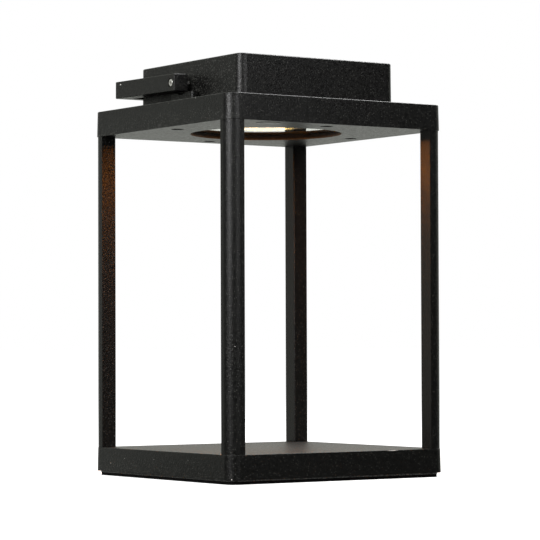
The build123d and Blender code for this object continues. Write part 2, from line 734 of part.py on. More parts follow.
# The dome is a thin rubber cone between the button and the rim under the contact block
dome_plane = Plane(origin=(button_x, button_y, 0), x_dir=(1, 0, 0), z_dir=(0, -1, 0))
with BuildPart() as button_dome:
    with BuildSketch(dome_plane):
        with BuildLine():
            Polyline(
                (0, button_collar_high),
                (dome_crown, button_collar_high),
                (dome_foot, contact_low - dome_skin),
                (dome_rim, contact_low - dome_skin),
                (dome_rim, contact_low),
                (dome_foot - dome_skin, contact_low),
                (dome_crown - dome_skin, button_collar_high + dome_skin),
                (0, button_collar_high + dome_skin),
                close=True,
            )
        make_face()
    revolve(axis=Axis((button_x, button_y, 0), (0, 0, 1)))

with BuildPart() as power_button:
    disc(button_radius, button_low, button_collar_low, button_point)
    fillet(power_button.edges().filter_by(GeomType.CIRCLE).group_by(Axis.Z)[0], button_rounding)
    disc(button_radius + button_shoulder, button_collar_low, button_collar_high, button_point)


def lead(route, radius):
    """One round lead along a bent route, in the part being built."""
    with BuildLine() as path:
        FilletPolyline(*route, radius=lead_bend)
    start = Plane(origin=route[0], z_dir=path.line @ 0.01 - path.line @ 0)
    with BuildSketch(start) as section:
        Circle(radius)
    sweep(section.sketch, path=path.line)


def lead_pair(route, gap, radius):
    """Two leads along the same route, apart along X."""
    with BuildPart() as leads:
        for shift in (-gap / 2, gap / 2):
            lead([(x + shift, y, z) for x, y, z in route], radius)
    return leads


led_leads = lead_pair(
    [(0, lead_hole_y, pan_low), (0, lead_hole_y, lead_z), (0, connector_y - connector_size[1] / 2, lead_z)],
    led_lead_gap,
    led_lead_radius,
)
switch_lead_y = button_y + switch_lead_side
switch_leads = lead_pair(
    [
        (button_x, switch_lead_y, switch_high),
        (button_x, switch_lead_y, switch_high + 0.9 * switch_lead_climb),
        (*switch_lead_bends[0], switch_high + switch_lead_climb),
        (*switch_lead_bends[1], lead_z),
        (-connector_x, connector_y - connector_size[1] / 2, lead_z),
    ],
    thin_lead_gap,
    thin_lead_radius,
)
charge_leads = lead_pair(
    [
        (inlet_x, charge_lead_y, charge_board_high),
        (inlet_x, charge_lead_y, charge_lead_climb),
        charge_lead_bends[0],
        (*charge_lead_bends[1], lead_z),
        (connector_x, charge_connector_y + connector_size[1] / 2, lead_z),
    ],
    thin_lead_gap,
    thin_lead_radius,
)
with BuildPart() as battery_leads:
    for side in (-1, 1):
        lead(
            [
                (side * lead_x, driver_centre_y, cell_z + cell_lead_rise),
                (side * lead_x, driver_centre_y, lead_z),
                (side * (battery_connector_x + connector_size[1] / 2), driver_centre_y, lead_z),
            ],
            lead_x - strip_x,
        )

pieces = {
    "foot_mat": foot_mat,
    "bottom_cover": bottom_cover,
    "cover_screws": cover_screws,
    "base_casting": base_casting,
    "post_screws_lower": post_screws_lower,
    "post_front": post_front,
    "post_right": post_right,
    "post_rear": post_rear,
    "post_left": post_left,
    "post_screws_upper": post_screws_upper,
    "collar_frame": collar_frame,
    "housing_screws": housing_screws,
    "glass_gasket": glass_gasket,
    "cover_glass": cover_glass,
    "light_pan": light_pan,
    "light_pan_screws": light_pan_screws,
    "led_board": led_board,
    "led_chips": led_chips,
    "led_board_screws": led_board_screws,
    "housing_gasket": housing_gasket,
    "top_housing": top_housing,
    "handle_rest_left": handle_rest_left,
    "handle_rest_right": handle_rest_right,
    "rest_screws": rest_screws,
    "handle": handle,
    "pivot_sleeves": pivot_sleeves,
    "pivot_screws": pivot_screws,
    "battery_tray": battery_tray,
    "tray_screws": tray_screws,
    "battery_cells": battery_cells,
    "cell_strips": cell_strips,
    "battery_pad": battery_pad,
    "driver_board": driver_board,
    "driver_components": driver_components,
    "driver_screws": driver_screws,
    "charge_board": charge_board,
    "charge_socket": charge_socket,
    "charge_screws": charge_screws,
    "port_flap": port_flap,
    "flap_anchor": flap_anchor,
    "switch_body": switch_body,
    "switch_nut": switch_nut,
    "switch_contacts": switch_contacts,
    "button_dome": button_dome,
    "power_button": power_button,
    "led_leads": led_leads,
    "battery_leads": battery_leads,
    "switch_leads": switch_leads,
    "charge_leads": charge_leads,
}

os.makedirs("parts", exist_ok=True)
for node, piece in pieces.items():
    piece.part.label = node
    export_step(piece.part, f"parts/{node}.step")
    print(node, len(piece.part.solids()), round(piece.part.volume))
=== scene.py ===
"""Dresses the battery lantern and stands it in a pale studio.

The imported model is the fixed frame. Each sub-assembly is a class that finishes its own pieces and
adds the small ones that only show from close by. Lengths are in metres.
"""

import logging
import math
from collections.abc import Sequence
from dataclasses import dataclass, field
from enum import Enum
from typing import ClassVar

import bmesh
import bpy
from mathutils import Matrix, Vector


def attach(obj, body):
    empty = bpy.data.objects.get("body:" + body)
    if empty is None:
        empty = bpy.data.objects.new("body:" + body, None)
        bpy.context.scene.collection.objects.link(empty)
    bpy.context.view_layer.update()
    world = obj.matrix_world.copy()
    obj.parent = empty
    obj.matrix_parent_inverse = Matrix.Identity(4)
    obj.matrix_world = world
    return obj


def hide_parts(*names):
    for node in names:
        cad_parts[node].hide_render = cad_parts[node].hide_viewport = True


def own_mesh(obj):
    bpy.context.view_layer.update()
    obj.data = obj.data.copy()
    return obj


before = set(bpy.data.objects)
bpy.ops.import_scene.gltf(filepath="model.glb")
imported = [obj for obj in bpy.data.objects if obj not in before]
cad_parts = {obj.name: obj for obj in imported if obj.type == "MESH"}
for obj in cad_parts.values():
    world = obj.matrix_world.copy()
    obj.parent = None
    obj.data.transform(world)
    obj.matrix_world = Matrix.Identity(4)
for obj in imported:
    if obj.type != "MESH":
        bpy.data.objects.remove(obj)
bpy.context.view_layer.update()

log = logging.getLogger("lantern")

MM = 0.001
LED_RING = 13.9 * MM  # radius of the ring of emitters
PATCHES = (0.3, 0.7)  # where a noise goes from its low patches to its high ones
Colour = tuple[float, float, float]
Point = tuple[float, float, float]
Pair = tuple[float, float]
Plug = bpy.types.NodeSocket
Value = float | Sequence[float] | Plug
Sockets = dict[str, Plug]


class Slot(Enum):
    """Material slots of the record that the new pieces belong to."""

    PHOSPHOR = "led_phosphor"
    SOLDER = "nickel_strip"
    SHELL = "socket_shell"
    SEAL = "seal_rubber"


class Socket(Enum):
    """Kinds of socket on a shader node group."""

    NUMBER = "NodeSocketFloat"
    VECTOR = "NodeSocketVector"


class Tree:
    """Adds nodes to one node tree and joins them."""

    def __init__(self, tree: bpy.types.NodeTree) -> None:
        """Keeps the tree that the nodes go into."""
        self.tree = tree

    def feed(self, socket: Plug, value: Value) -> None:
        """Joins a socket to another one, or gives it a plain value."""
        if isinstance(value, Plug):
            self.tree.links.new(value, socket)
        else:
            socket.default_value = value

    def node(
        self, kind: str, inputs: dict[str | int, Value] | None = None, **settings: object
    ) -> bpy.types.Node:
        """Adds one node.

        Args:
            kind: Blender's name of the node type.
            inputs: Values or sockets for its inputs, by name or number.
            settings: Values for the node's own properties.

        Returns:
            The new node.
        """
        node = self.tree.nodes.new(kind)
        for name, setting in settings.items():
            setattr(node, name, setting)
        for key, value in (inputs or {}).items():
            self.feed(node.inputs[key], value)
        return node

    def calc(self, operation: str, first: Value, second: Value = 0.0) -> Plug:
        """Adds a Math node and returns its result."""
        return self.node("ShaderNodeMath", {0: first, 1: second}, operation=operation).outputs[0]

    def vector(self, operation: str, first: Value, second: Value) -> Plug:
        """Adds a Vector Math node and returns its vector result."""
        node = self.node("ShaderNodeVectorMath", {0: first, 1: second}, operation=operation)
        return node.outputs["Vector"]

    def length(self, vector: Value) -> Plug:
        """Returns the length of a vector."""
        return self.node("ShaderNodeVectorMath", {0: vector}, operation="LENGTH").outputs["Value"]

    def dot(self, first: Value, second: Value) -> Plug:
        """Returns the dot product of two vectors."""
        inputs = {0: first, 1: second}
        return self.node("ShaderNodeVectorMath", inputs, operation="DOT_PRODUCT").outputs["Value"]

    def split(self, vector: Value) -> tuple[Plug, Plug, Plug]:
        """Returns the X, Y and Z of a vector."""
        outputs = self.node("ShaderNodeSeparateXYZ", {0: vector}).outputs
        return outputs[0], outputs[1], outputs[2]

    def span(self, value: Value, low: Value, high: Value, start: Value = 0.0, end: Value = 1.0) -> Plug:
        """Maps a value from low..high to start..end, smoothly and held at both ends."""
        inputs = {"Value": value, "From Min": low, "From Max": high, "To Min": start, "To Max": end}
        node = self.node("ShaderNodeMapRange", inputs, interpolation_type="SMOOTHSTEP")
        return node.outputs["Result"]

    def blend(self, share: Value, first: Value, second: Value) -> Plug:
        """Returns a colour between two colours."""
        node = self.node("ShaderNodeMix", {0: share, 6: first, 7: second}, data_type="RGBA")
        return node.outputs[2]

    def between(self, share: Value, first: Value, second: Value) -> Plug:
        """Returns a number between two numbers."""
        node = self.node("ShaderNodeMix", {0: share, 2: first, 3: second}, data_type="FLOAT")
        return node.outputs[0]

    def noise(self, vector: Value, scale: Value, detail: float = 2.0, roughness: float = 0.5) -> Plug:
        """Returns a noise pattern's value."""
        inputs = {"Vector": vector, "Scale": scale, "Detail": detail, "Roughness": roughness}
        return self.node("ShaderNodeTexNoise", inputs).outputs[0]

    def cells(self, vector: Value, scale: Value, feature: str = "F1") -> bpy.types.Node:
        """Returns a Voronoi node."""
        return self.node("ShaderNodeTexVoronoi", {"Vector": vector, "Scale": scale}, feature=feature)


class Effect:
    """A shader node group with named inputs and outputs, built once for all finishes."""

    name = "effect"
    vectors: tuple[str, ...] = ("Vector",)
    numbers: tuple[str, ...] = ()
    outputs: tuple[str, ...] = ("Mask",)

    def __init__(self) -> None:
        """Makes the group and lets the effect fill it."""
        self.group = bpy.data.node_groups.new(self.name, "ShaderNodeTree")
        self.offer("INPUT", Socket.VECTOR, self.vectors)
        self.offer("INPUT", Socket.NUMBER, self.numbers)
        self.offer("OUTPUT", Socket.NUMBER, self.outputs)
        tree = Tree(self.group)
        source = tree.node("NodeGroupInput")
        target = tree.node("NodeGroupOutput")
        given = {name: source.outputs[name] for name in self.vectors + self.numbers}
        for name, socket in self.wire(tree, given).items():
            tree.feed(target.inputs[name], socket)

    def offer(self, side: str, kind: Socket, names: tuple[str, ...]) -> None:
        """Adds sockets of one kind to a side of the group."""
        for name in names:
            self.group.interface.new_socket(name=name, in_out=side, socket_type=kind.value)

    def wire(self, tree: Tree, given: Sockets) -> Sockets:
        """Builds the effect from its inputs and returns its outputs by name."""
        raise NotImplementedError

    def place(self, tree: Tree, **values: Value) -> bpy.types.bpy_prop_collection:
        """Places the group in a material.

        Args:
            tree: The material's tree.
            values: One value or socket for each named input.

        Returns:
            The outputs of the placed group.
        """
        node = tree.node("ShaderNodeGroup", node_tree=self.group)
        for name, value in values.items():
            tree.feed(node.inputs[name], value)
        return node.outputs


class Grain(Effect):
    """Fine pebbled texture of sprayed powder or moulded plastic, with small painted glints and a soft cloud.
    """

    name = "fine_grain"
    numbers = ("Size",)
    outputs = ("Height", "PaintedGlint", "Cloud", "Tone")

    def wire(self, tree: Tree, given: Sockets) -> Sockets:
        """Pebbles and noise make the height, rare cells make the painted glints."""
        place = given["Vector"]
        scale = tree.calc("DIVIDE", 1.0, given["Size"])
        pebbles = tree.cells(place, scale, "SMOOTH_F1").outputs["Distance"]
        rough = tree.noise(place, tree.calc("MULTIPLY", scale, 1.6), 2.0, 0.6)
        height = tree.between(0.45, tree.calc("SUBTRACT", 1.0, pebbles), rough)
        # painted glints: the brightest of these cells give a lighter spot that stands in for a tiny
        # highlight
        flakes = tree.cells(place, tree.calc("MULTIPLY", scale, 0.8))
        pick = tree.split(flakes.outputs["Color"])[0]
        near = tree.span(flakes.outputs["Distance"], 0.1, 0.45, 1.0, 0.0)
        painted_glint = tree.calc("MULTIPLY", tree.span(pick, 0.5, 1.0), near)
        cloud = tree.noise(place, 40.0, 4.0, 0.6)
        tone = tree.noise(place, tree.calc("MULTIPLY", scale, 0.45), 3.0, 0.7)
        return {"Height": height, "PaintedGlint": painted_glint, "Cloud": cloud, "Tone": tone}


class EdgeBand(Effect):
    """Mask along the level edges of a square block, broken up by noise."""

    name = "edge_band"
    numbers = ("Half", "Low", "High", "Width")

    def wire(self, tree: Tree, given: Sockets) -> Sockets:
        """Adds the distance from the outline to the distance from the nearer level."""
        x, y, z = tree.split(given["Vector"])
        reach = tree.calc("MAXIMUM", tree.calc("ABSOLUTE", x), tree.calc("ABSOLUTE", y))
        inward = tree.calc("ABSOLUTE", tree.calc("SUBTRACT", given["Half"], reach))
        below = tree.calc("ABSOLUTE", tree.calc("SUBTRACT", z, given["Low"]))
        above = tree.calc("ABSOLUTE", tree.calc("SUBTRACT", given["High"], z))
        away = tree.calc("ADD", inward, tree.calc("MINIMUM", below, above))
        edge = tree.span(tree.calc("DIVIDE", away, given["Width"]), 0.2, 1.0, 1.0, 0.0)
        breaks = tree.span(tree.noise(given["Vector"], 260.0, 4.0, 0.65), 0.42, 0.7)
        return {"Mask": tree.calc("MULTIPLY", edge, breaks)}


class Nick(Effect):
    """Mask of one small chip in a coating, with a ragged rim."""

    name = "nick"
    vectors = ("Vector", "Centre", "Stretch")
    numbers = ("Radius",)

    def wire(self, tree: Tree, given: Sockets) -> Sockets:
        """Compares the distance from the centre with a radius that noise makes uneven."""
        offset = tree.vector("SUBTRACT", given["Vector"], given["Centre"])
        away = tree.length(tree.vector("DIVIDE", offset, given["Stretch"]))
        ragged = tree.span(tree.noise(given["Vector"], 2400.0, 3.0, 0.6), 0.25, 0.75, 0.45, 1.3)
        share = tree.calc("DIVIDE", away, tree.calc("MULTIPLY", given["Radius"], ragged))
        return {"Mask": tree.span(share, 0.7, 1.05, 1.0, 0.0)}


class Dust(Effect):
    """Thin dust that has settled on faces that look up."""

    name = "settled_dust"
    vectors = ("Vector", "Normal")

    def wire(self, tree: Tree, given: Sockets) -> Sockets:
        """Takes faces that look up, in patches, with single motes on them."""
        up = tree.span(tree.split(given["Normal"])[2], 0.6, 0.98)
        patches = tree.span(tree.noise(given["Vector"], 55.0, 5.0, 0.65), 0.3, 0.8, 0.15, 0.6)
        motes = tree.span(tree.cells(given["Vector"], 420.0).outputs["Distance"], 0.05, 0.16, 1.0, 0.0)
        return {"Mask": tree.calc("MULTIPLY", up, tree.calc("MAXIMUM", patches, motes))}


class Brush(Effect):
    """Fine lines of drawn or turned metal, with a slow change of tone."""

    name = "brushed_metal"
    vectors = ("Vector", "Stretch")
    outputs = ("Lines", "Tone")

    def wire(self, tree: Tree, given: Sockets) -> Sockets:
        """Stretches noise along the lines."""
        drawn = tree.vector("MULTIPLY", given["Vector"], given["Stretch"])
        lines = tree.noise(drawn, 1500.0, 3.0, 0.6)
        tone = tree.noise(given["Vector"], 160.0, 3.0, 0.6)
        return {"Lines": lines, "Tone": tone}


class Tracks(Effect):
    """Copper tracks and pads under the mask of a circuit board."""

    name = "board_tracks"
    numbers = ("Pitch",)
    outputs = ("Track", "Pad")

    def wire(self, tree: Tree, given: Sockets) -> Sockets:
        """Borders of square cells make the tracks, some of their middles make the pads."""
        scale = tree.calc("DIVIDE", 1.0, given["Pitch"])
        inputs = {"Vector": given["Vector"], "Scale": scale, "Randomness": 0.8}
        square, second = (
            tree.node("ShaderNodeTexVoronoi", inputs, feature=feature, distance="CHEBYCHEV")
            for feature in ("F1", "F2")
        )
        gap = tree.calc("SUBTRACT", second.outputs["Distance"], square.outputs["Distance"])
        track = tree.span(gap, 0.06, 0.1, 1.0, 0.0)
        chosen = tree.span(tree.split(square.outputs["Color"])[1], 0.55, 0.6)
        pad = tree.calc("MULTIPLY", tree.span(square.outputs["Distance"], 0.14, 0.17, 1.0, 0.0), chosen)
        return {"Track": track, "Pad": pad}


class PaintedHalo(Effect):
    """Painted light that falls off on both sides of a ring around the upright axis."""

    name = "painted_ring_halo"
    numbers = ("Ring", "Spread")
    outputs = ("Away", "Light")

    def wire(self, tree: Tree, given: Sockets) -> Sockets:
        """Measures the distance from the ring and lets the painted light fade with it."""
        x, y, _ = tree.split(given["Vector"])
        radius = tree.length(tree.node("ShaderNodeCombineXYZ", {0: x, 1: y}).outputs[0])
        away = tree.calc("ABSOLUTE", tree.calc("SUBTRACT", radius, given["Ring"]))
        fade = tree.span(tree.calc("DIVIDE", away, given["Spread"]), 0.0, 1.0, 1.0, 0.0)
        return {"Away": away, "Light": tree.calc("POWER", fade, 2.6)}


@dataclass(frozen=True)
class Effects:
    """All shared effects, each built once."""

    grain: Grain = field(default_factory=Grain)
    edge_band: EdgeBand = field(default_factory=EdgeBand)
    nick: Nick = field(default_factory=Nick)
    dust: Dust = field(default_factory=Dust)
    brush: Brush = field(default_factory=Brush)
    tracks: Tracks = field(default_factory=Tracks)
    painted_halo: PaintedHalo = field(default_factory=PaintedHalo)


def clear_tree(owner: bpy.types.Material | bpy.types.World) -> Tree:
    """Returns the emptied node tree of a material or a world."""
    owner.use_nodes = True
    owner.node_tree.nodes.clear()
    return Tree(owner.node_tree)


def stand(name: str, data: bpy.types.ID) -> bpy.types.Object:
    """Makes an object of a mesh, a lamp or a camera and puts it in the scene."""
    thing = bpy.data.objects.new(name, data)
    bpy.context.scene.collection.objects.link(thing)
    return thing


def solid(name: str, mesh: bmesh.types.BMesh) -> bpy.types.Object:
    """Makes an object of a bmesh, which is freed."""
    data = bpy.data.meshes.new(name)
    mesh.to_mesh(data)
    mesh.free()
    return stand(name, data)


def shade(colour: Colour, share: float = 1.0) -> tuple[float, ...]:
    """Returns a colour with alpha, made darker or lighter by a share."""
    return (*(min(1.0, share * channel) for channel in colour), 1.0)


@dataclass(frozen=True)
class Canvas:
    """One material in the making: its tree, its shader, the surface's coordinates and the shared effects."""

    tree: Tree
    shader: bpy.types.Node
    place: Plug
    normal: Plug
    effects: Effects

    def feed(self, socket: str, value: Value) -> None:
        """Joins one of the shader's sockets to a pattern."""
        self.tree.feed(self.shader.inputs[socket], value)

    def fix(self, socket: str, value: Value) -> None:
        """Gives one of the shader's sockets a plain value."""
        self.shader.inputs[socket].default_value = value

    def grain(self, size: float) -> bpy.types.bpy_prop_collection:
        """Places the fine grain at a size and returns its outputs."""
        return self.effects.grain.place(self.tree, Vector=self.place, Size=size)

    def gloss(self, pattern: Value, reach: Pair, middle: float, swing: Pair) -> None:
        """Varies the roughness with a pattern.

        Args:
            pattern: The pattern.
            reach: Its values between which the roughness changes.
            middle: The finish's own roughness.
            swing: What is added to it at both ends.
        """
        low, high = (middle + change for change in swing)
        self.feed("Roughness", self.tree.span(pattern, *reach, low, high))

    def bump(self, height: Value, depth: float) -> None:
        """Feeds the shader's normal from a height of 0 to 1 and its real depth."""
        bump = self.tree.node("ShaderNodeBump", {"Height": height, "Distance": depth, "Strength": 1.0})
        self.feed("Normal", bump.outputs["Normal"])

    def shine(self, share: Value, colour: Colour, strength: float) -> None:
        """Paints light onto the surface as emission, where the surface is no lamp.

        Args:
            share: Where the light is painted, from 0 to 1.
            colour: The painted light's colour.
            strength: The painted light's strength where the share is 1.
        """
        self.feed("Emission Color", self.tree.blend(share, shade(colour, 0.0), shade(colour)))
        self.fix("Emission Strength", strength)


@dataclass(frozen=True)
class Finish:
    """One finish: its own name, and the values that are the same all over the surface."""

    name: str

    def material(self, effects: Effects) -> bpy.types.Material:
        """Builds the material.

        Args:
            effects: The shared node groups.

        Returns:
            The finished material.
        """
        material = bpy.data.materials.new(self.name)
        tree = clear_tree(material)
        shader = tree.node("ShaderNodeBsdfPrincipled")
        output = tree.node("ShaderNodeOutputMaterial")
        tree.feed(output.inputs["Surface"], shader.outputs["BSDF"])
        place = tree.node("ShaderNodeTexCoord")
        self.dress(Canvas(tree, shader, place.outputs["Object"], place.outputs["Normal"], effects))
        return material

    def dress(self, canvas: Canvas) -> None:
        """Feeds the shader's sockets."""
        raise NotImplementedError


@dataclass(frozen=True)
class Band:
    """A square block whose level edges have lost a little of their coating's texture."""

    half: float
    low: float
    high: float


@dataclass(frozen=True)
class Chip:
    """A small chip in the coating."""

    centre: Point
    radius: float
    stretch: Point = (1.0, 1.0, 1.0)


@dataclass(frozen=True)
class PowderCoat(Finish):
    """Black powder coat with a fine sandy texture."""

    colour: Colour = (0.0006, 0.0006, 0.0005)
    dark_share: float = 0.3
    light_share: float = 2.4
    # painted glints: a lighter colour in a few grain cells, standing in for tiny highlights
    painted_glint: Colour = (0.11, 0.11, 0.1)
    painted_glint_share: float = 0.3
    rubbed: Colour = (0.04, 0.04, 0.038)
    rubbed_share: float = 0.3
    smooth_share: float = 0.6
    smooth_roughness: float = 0.3
    rubbed_width: float = 1.1 * MM
    bare: Colour = (0.36, 0.35, 0.33)
    dusty: Colour = (0.075, 0.072, 0.066)
    dust_share: float = 0.12
    dust_roughness: float = 0.05
    patches: Pair = (0.35, 0.65)
    roughness: float = 0.38
    swing: Pair = (-0.05, 0.06)
    specular: float = 0.18
    grain_size: float = 0.9 * MM
    grain_depth: float = 0.22 * MM
    bands: tuple[Band, ...] = ()
    chips: tuple[Chip, ...] = ()

    def dress(self, canvas: Canvas) -> None:
        """Mixes the coat's tone, its glints, rubbed edges, chips and dust."""
        tree, effects, place = canvas.tree, canvas.effects, canvas.place
        grain = canvas.grain(self.grain_size)
        tone = tree.span(grain["Tone"], *self.patches)
        coat = tree.blend(tone, shade(self.colour, self.dark_share), shade(self.colour, self.light_share))
        # painted glints mixed into the coat's colour
        coat = tree.blend(tree.calc("MULTIPLY", grain["PaintedGlint"], self.painted_glint_share), coat, shade(self.painted_glint))
        low, high = (self.roughness + change for change in self.swing)
        rough = tree.span(grain["Tone"], *self.patches, low, high)
        worn: Value = 0.0
        for band in self.bands:
            sizes = {"Half": band.half, "Low": band.low, "High": band.high, "Width": self.rubbed_width}
            mask = effects.edge_band.place(tree, Vector=place, **sizes)["Mask"]
            worn = tree.calc("MAXIMUM", worn, mask)
        if self.bands:
            coat = tree.blend(tree.calc("MULTIPLY", worn, self.rubbed_share), coat, shade(self.rubbed))
            smooth = tree.calc("MULTIPLY", worn, self.smooth_share)
            rough = tree.between(smooth, rough, self.smooth_roughness)
        dust = effects.dust.place(tree, Vector=place, Normal=canvas.normal)["Mask"]
        coat = tree.blend(tree.calc("MULTIPLY", dust, self.dust_share), coat, shade(self.dusty))
        rough = tree.calc("ADD", rough, tree.calc("MULTIPLY", dust, self.dust_roughness))
        height = grain["Height"]
        for chip in self.chips:
            sizes = {"Centre": chip.centre, "Stretch": chip.stretch, "Radius": chip.radius}
            mask = effects.nick.place(tree, Vector=place, **sizes)["Mask"]
            coat = tree.blend(mask, coat, shade(self.bare))
            height = tree.between(mask, height, 0.0)
        canvas.feed("Base Color", coat)
        canvas.feed("Roughness", rough)
        canvas.fix("Specular IOR Level", self.specular)
        canvas.bump(height, self.grain_depth)


@dataclass(frozen=True)
class PaintedGlowCoat(PowderCoat):
    """Powder coat with a round opening, whose lower rim has the emitters' light painted on as emission."""

    # colour and strength of the light painted on the opening's wall
    glow: Colour = (1.0, 0.45, 0.18)
    opening: float = 54.0 * MM
    width: float = 2.0 * MM
    rim: float = 243.4 * MM
    reach: float = 1.9 * MM
    strength: float = 0.035

    def dress(self, canvas: Canvas) -> None:
        """Paints the emitters' light onto the upright wall of the opening as emission, strongest at its rim.
        """
        super().dress(canvas)
        tree, place = canvas.tree, canvas.place
        # painted light: emission on the opening's upright wall near its lower rim
        painted_halo = canvas.effects.painted_halo.place(tree, Vector=place, Ring=self.opening, Spread=self.width)["Light"]
        height = tree.span(tree.split(place)[2], self.rim, self.rim + self.reach, 1.0, 0.0)
        upright = tree.span(tree.calc("ABSOLUTE", tree.split(canvas.normal)[2]), 0.4, 0.9, 1.0, 0.0)
        light = tree.calc("MULTIPLY", tree.calc("MULTIPLY", painted_halo, height), upright)
        canvas.shine(light, self.glow, self.strength)


@dataclass(frozen=True)
class Rubber(Finish):
    """Matt rubber with a fine moulded grain."""

    colour: Colour = (0.003, 0.003, 0.003)
    bloom_share: float = 1.9
    roughness: float = 0.72
    swing: Pair = (-0.06, 0.08)
    specular: float = 0.12
    grain_size: float = 0.5 * MM
    grain_depth: float = 0.03 * MM

    def dress(self, canvas: Canvas) -> None:
        """Mixes bloomed grey patches into the black."""
        grain = canvas.grain(self.grain_size)
        grey = shade(self.colour, self.bloom_share)
        canvas.feed("Base Color", canvas.tree.blend(grain["Cloud"], shade(self.colour), grey))
        canvas.gloss(grain["Cloud"], PATCHES, self.roughness, self.swing)
        canvas.fix("Specular IOR Level", self.specular)
        canvas.bump(grain["Height"], self.grain_depth)


@dataclass(frozen=True)
class Plastic(Finish):
    """Moulded plastic, from a fine erosion texture to nearly smooth."""

    colour: Colour = (0.02, 0.02, 0.02)
    light_share: float = 1.25
    roughness: float = 0.45
    patches: Pair = (0.25, 0.75)
    swing: Pair = (-0.06, 0.06)
    grain_size: float = 0.4 * MM
    grain_depth: float = 0.02 * MM

    def dress(self, canvas: Canvas) -> None:
        """Varies tone and gloss a little over the moulding."""
        grain = canvas.grain(self.grain_size)
        light = shade(self.colour, self.light_share)
        canvas.feed("Base Color", canvas.tree.blend(grain["Tone"], shade(self.colour), light))
        canvas.gloss(grain["Cloud"], self.patches, self.roughness, self.swing)
        canvas.bump(grain["Height"], self.grain_depth)


@dataclass(frozen=True)
class Metal(Finish):
    """Bare or plated metal with drawn lines."""

    colour: Colour = (0.6, 0.6, 0.58)
    dull_share: float = 0.68
    roughness: float = 0.3
    swing: Pair = (-0.07, 0.1)
    stretch: Point = (1.0, 1.0, 0.05)
    depth: float = 0.012 * MM

    def dress(self, canvas: Canvas) -> None:
        """Lines change the gloss, and patches change the tone."""
        tree = canvas.tree
        brush = canvas.effects.brush.place(tree, Vector=canvas.place, Stretch=self.stretch)
        tone = tree.span(brush["Tone"], *PATCHES)
        dull = shade(self.colour, self.dull_share)
        canvas.feed("Base Color", tree.blend(tone, dull, shade(self.colour)))
        canvas.gloss(brush["Lines"], PATCHES, self.roughness, self.swing)
        canvas.fix("Metallic", 1.0)
        canvas.bump(brush["Lines"], self.depth)


@dataclass(frozen=True)
class PaintedGlowMetal(Metal):
    """Metal around the ring of emitters, with some of their light painted on as emission."""

    # colour, width and strength of the light painted around the ring
    glow: Colour = (1.0, 0.72, 0.45)
    spread: float = 30.0 * MM
    strength: float = 3.2

    def dress(self, canvas: Canvas) -> None:
        """Paints the emitters' light onto the bare metal as emission."""
        super().dress(canvas)
        painted_halo = canvas.effects.painted_halo.place(canvas.tree, Vector=canvas.place, Ring=LED_RING, Spread=self.spread)
        canvas.shine(painted_halo["Light"], self.glow, self.strength)


@dataclass(frozen=True)
class Glass(Finish):
    """Clear tempered glass with a trace of green and a few smears."""

    colour: Colour = (0.93, 0.97, 0.945)
    index: float = 1.5
    smear_roughness: float = 0.05

    def material(self, effects: Effects) -> bpy.types.Material:
        """Builds the material, which lets lamps shine through the glass without a shadow.

        Args:
            effects: The shared node groups.

        Returns:
            The finished material.
        """
        material = super().material(effects)
        tree = Tree(material.node_tree)
        nodes = material.node_tree.nodes
        shadow = tree.node("ShaderNodeLightPath").outputs["Is Shadow Ray"]
        clear = tree.node("ShaderNodeBsdfTransparent", {"Color": shade(self.colour)})
        through = {0: shadow, 1: nodes["Principled BSDF"].outputs[0], 2: clear.outputs[0]}
        mixed = tree.node("ShaderNodeMixShader", through)
        tree.feed(nodes["Material Output"].inputs["Surface"], mixed.outputs[0])
        return material

    def dress(self, canvas: Canvas) -> None:
        """Smears make the glass a little less sharp in places."""
        smear = canvas.tree.noise(canvas.place, 45.0, 5.0, 0.7)
        canvas.feed("Roughness", canvas.tree.span(smear, 0.5, 0.8, 0.0, self.smear_roughness))
        canvas.fix("Base Color", shade(self.colour))
        canvas.fix("Transmission Weight", 1.0)
        canvas.fix("IOR", self.index)


@dataclass(frozen=True)
class Board(Finish):
    """Circuit board: glass fibre with tracks under a coloured mask, and tinned pads."""

    mask: Colour = (0.012, 0.075, 0.03)
    track: Colour = (0.03, 0.16, 0.06)
    pad: Colour = (0.62, 0.6, 0.56)
    mask_roughness: float = 0.32
    pad_roughness: float = 0.22
    pitch: float = 3.4 * MM
    track_height: float = 0.03 * MM

    def dress(self, canvas: Canvas) -> None:
        """Tracks stand up a little, pads are metal."""
        tree = canvas.tree
        tracks = canvas.effects.tracks.place(tree, Vector=canvas.place, Pitch=self.pitch)
        colour = tree.blend(tracks["Track"], shade(self.mask), shade(self.track))
        canvas.feed("Base Color", tree.blend(tracks["Pad"], colour, shade(self.pad)))
        canvas.feed("Metallic", tracks["Pad"])
        canvas.feed("Roughness", tree.between(tracks["Pad"], self.mask_roughness, self.pad_roughness))
        canvas.bump(tracks["Track"], self.track_height)


@dataclass(frozen=True)
class EmitterBoard(Finish):
    """White LED board, with its own emitters' light painted on as emission in a soft band along their ring.
    """

    white: Colour = (0.78, 0.77, 0.73)
    copper: Colour = (0.45, 0.33, 0.2)
    track_share: float = 0.16
    track_half: float = 1.2 * MM
    # colour, width and strength of the light painted along the ring
    glow: Colour = (1.0, 0.62, 0.16)
    spread: float = 16.0 * MM
    strength: float = 5.0
    roughness: Pair = (0.38, 0.5)
    grain_size: float = 0.6 * MM
    grain_depth: float = 0.01 * MM

    def dress(self, canvas: Canvas) -> None:
        """A ring track joins the emitters, and painted light falls off on both sides of it."""
        tree = canvas.tree
        painted_halo = canvas.effects.painted_halo.place(tree, Vector=canvas.place, Ring=LED_RING, Spread=self.spread)
        edge = self.track_half + 0.2 * MM
        track = tree.span(painted_halo["Away"], self.track_half, edge, self.track_share, 0.0)
        grain = canvas.grain(self.grain_size)
        canvas.feed("Base Color", tree.blend(track, shade(self.white), shade(self.copper)))
        canvas.feed("Roughness", tree.span(grain["Cloud"], *PATCHES, *self.roughness))
        # painted light: emission in a band along the ring of emitters
        canvas.shine(painted_halo["Light"], self.glow, self.strength)
        canvas.bump(grain["Height"], self.grain_depth)


